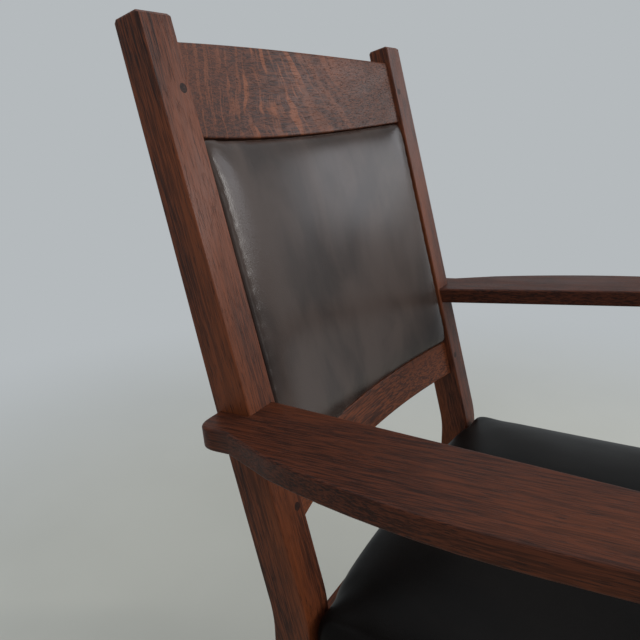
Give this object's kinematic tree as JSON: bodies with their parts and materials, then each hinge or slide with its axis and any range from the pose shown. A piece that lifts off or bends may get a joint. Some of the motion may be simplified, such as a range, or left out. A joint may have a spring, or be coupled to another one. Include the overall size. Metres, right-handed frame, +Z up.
{
  "type": "desk chair",
  "caption": "Open-arm desk chair with a pegged oak frame, leather back pad and seat cushion, on a tilting, height-adjustable swivel base with wooden legs and casters.",
  "frame": {"origin": "on the floor, under the middle of the chair's bounding box", "axes": "+Z up, -Y the way the sitter faces, +X to the sitter's left"},
  "size_m": [0.766, 0.6868, 1.0294],
  "materials": {
    "oak": "quartersawn oak, dark red-brown stain under a satin finish",
    "inner_wood": "plain stained wood, matt",
    "peg_wood": "dark wood pegs, end grain, satin",
    "back_leather": "smooth dark grey-brown leather",
    "seat_leather": "smooth near-black leather",
    "black_steel": "black powder coat",
    "bright_steel": "bright steel",
    "black_plastic": "moulded, fine texture",
    "black_rubber": "matt",
    "brass": "aged brass",
    "wheel_rubber": "dark grey-black, slightly worn tread"
  },
  "bodies": {
    "base": {"column_tube": "black_steel", "guide_bush": "black_plastic", "hub_block": "oak", "base_leg_1": "oak", "base_leg_2": "oak", "base_leg_3": "oak", "base_leg_4": "oak", "hub_screws": "bright_steel", "caster_sleeves": "brass"},
    "piston": {"piston_rod": "bright_steel"},
    "carrier": {"gas_cylinder": "bright_steel", "tilt_housing": "black_steel", "stop_bumpers": "black_rubber", "lever_pin": "bright_steel", "tension_spring": "bright_steel"},
    "valve": {"valve_pin": "bright_steel"},
    "lever": {"height_lever": "bright_steel", "lever_handle": "black_plastic"},
    "seat": {"rear_post_left": "oak", "rear_post_right": "oak", "top_rail": "oak", "lower_back_rail": "oak", "back_board": "inner_wood", "back_pad": "back_leather", "back_cover": "back_leather", "back_cleats": "inner_wood", "joint_pegs": "peg_wood", "arm_left": "oak", "arm_right": "oak", "front_post_left": "oak", "front_post_right": "oak", "arm_corbels": "oak", "side_rail_left": "oak", "side_rail_right": "oak", "front_seat_rail": "oak", "rear_seat_rail": "oak", "corner_blocks": "inner_wood", "seat_board": "inner_wood", "seat_cushion": "seat_leather", "plate_battens": "inner_wood", "tilt_plate": "black_steel", "plate_bolts": "bright_steel", "tilt_axle": "bright_steel", "clevis_pin": "bright_steel"},
    "tension_link": {"tension_rod": "bright_steel", "spring_washer": "bright_steel"},
    "knob": {"tension_knob": "black_plastic"},
    "caster_1": {"caster_fork_1": "brass", "caster_axle_1": "bright_steel"},
    "wheel_1": {"caster_wheel_1": "wheel_rubber"},
    "caster_2": {"caster_fork_2": "brass", "caster_axle_2": "bright_steel"},
    "wheel_2": {"caster_wheel_2": "wheel_rubber"},
    "caster_3": {"caster_fork_3": "brass", "caster_axle_3": "bright_steel"},
    "wheel_3": {"caster_wheel_3": "wheel_rubber"},
    "caster_4": {"caster_fork_4": "brass", "caster_axle_4": "bright_steel"},
    "wheel_4": {"caster_wheel_4": "wheel_rubber"}
  },
  "joints": [
    {"name": "seat_swivel", "type": "hinge", "parent": "base", "child": "piston", "pos_m": [0, -0.04951, 0.1508], "axis": [0, 0, 1], "continuous": true},
    {"name": "height_slide", "type": "slide", "parent": "piston", "child": "carrier", "axis": [0, 0, 1], "range_m": [0, 0.08]},
    {"name": "tilt", "type": "hinge", "parent": "carrier", "child": "seat", "pos_m": [0, -0.09451, 0.31], "axis": [-1, 0, 0], "range_deg": [0, 12], "stiffness_Nm_per_rad": 150, "springref_deg": -17.19, "deforming": ["tension_spring"]},
    {"name": "link_hinge", "type": "hinge", "parent": "seat", "child": "tension_link", "pos_m": [0, -0.15451, 0.31], "axis": [-1, 0, 0], "range_deg": [-12, 0]},
    {"name": "knob_turn", "type": "hinge", "parent": "tension_link", "child": "knob", "pos_m": [0, -0.15451, 0.1797], "axis": [0, 0, 1], "range_deg": [0, 1440]},
    {"name": "lever_lift", "type": "hinge", "parent": "carrier", "child": "lever", "pos_m": [-0.03, -0.04951, 0.282], "axis": [0, 1, 0], "range_deg": [0, 5], "stiffness_Nm_per_rad": 2, "springref_deg": -5.73},
    {"name": "valve_press", "type": "slide", "parent": "carrier", "child": "valve", "axis": [0, 0, 1], "range_m": [-0.0027, 0], "stiffness_N_per_m": 1500, "springref_m": 0.001},
    {"name": "caster_1_swivel", "type": "hinge", "parent": "base", "child": "caster_1", "pos_m": [0.20082, 0.15131, 0.061], "axis": [0, 0, 1], "continuous": true},
    {"name": "wheel_1_spin", "type": "hinge", "parent": "caster_1", "child": "wheel_1", "pos_m": [0.20082, 0.16931, 0.028], "axis": [1, 0, 0], "continuous": true},
    {"name": "caster_2_swivel", "type": "hinge", "parent": "base", "child": "caster_2", "pos_m": [-0.20082, 0.15131, 0.061], "axis": [0, 0, 1], "continuous": true},
    {"name": "wheel_2_spin", "type": "hinge", "parent": "caster_2", "child": "wheel_2", "pos_m": [-0.20082, 0.16931, 0.028], "axis": [1, 0, 0], "continuous": true},
    {"name": "caster_3_swivel", "type": "hinge", "parent": "base", "child": "caster_3", "pos_m": [-0.20082, -0.25033, 0.061], "axis": [0, 0, 1], "continuous": true},
    {"name": "wheel_3_spin", "type": "hinge", "parent": "caster_3", "child": "wheel_3", "pos_m": [-0.20082, -0.23233, 0.028], "axis": [1, 0, 0], "continuous": true},
    {"name": "caster_4_swivel", "type": "hinge", "parent": "base", "child": "caster_4", "pos_m": [0.20082, -0.25033, 0.061], "axis": [0, 0, 1], "continuous": true},
    {"name": "wheel_4_spin", "type": "hinge", "parent": "caster_4", "child": "wheel_4", "pos_m": [0.20082, -0.23233, 0.028], "axis": [1, 0, 0], "continuous": true}
  ],
  "couplings": [
    {"joint": "link_hinge", "follows": "tilt", "ratio": -1},
    {"joint": "valve_press", "follows": "lever_lift", "m_per_rad": -0.03}
  ]
}
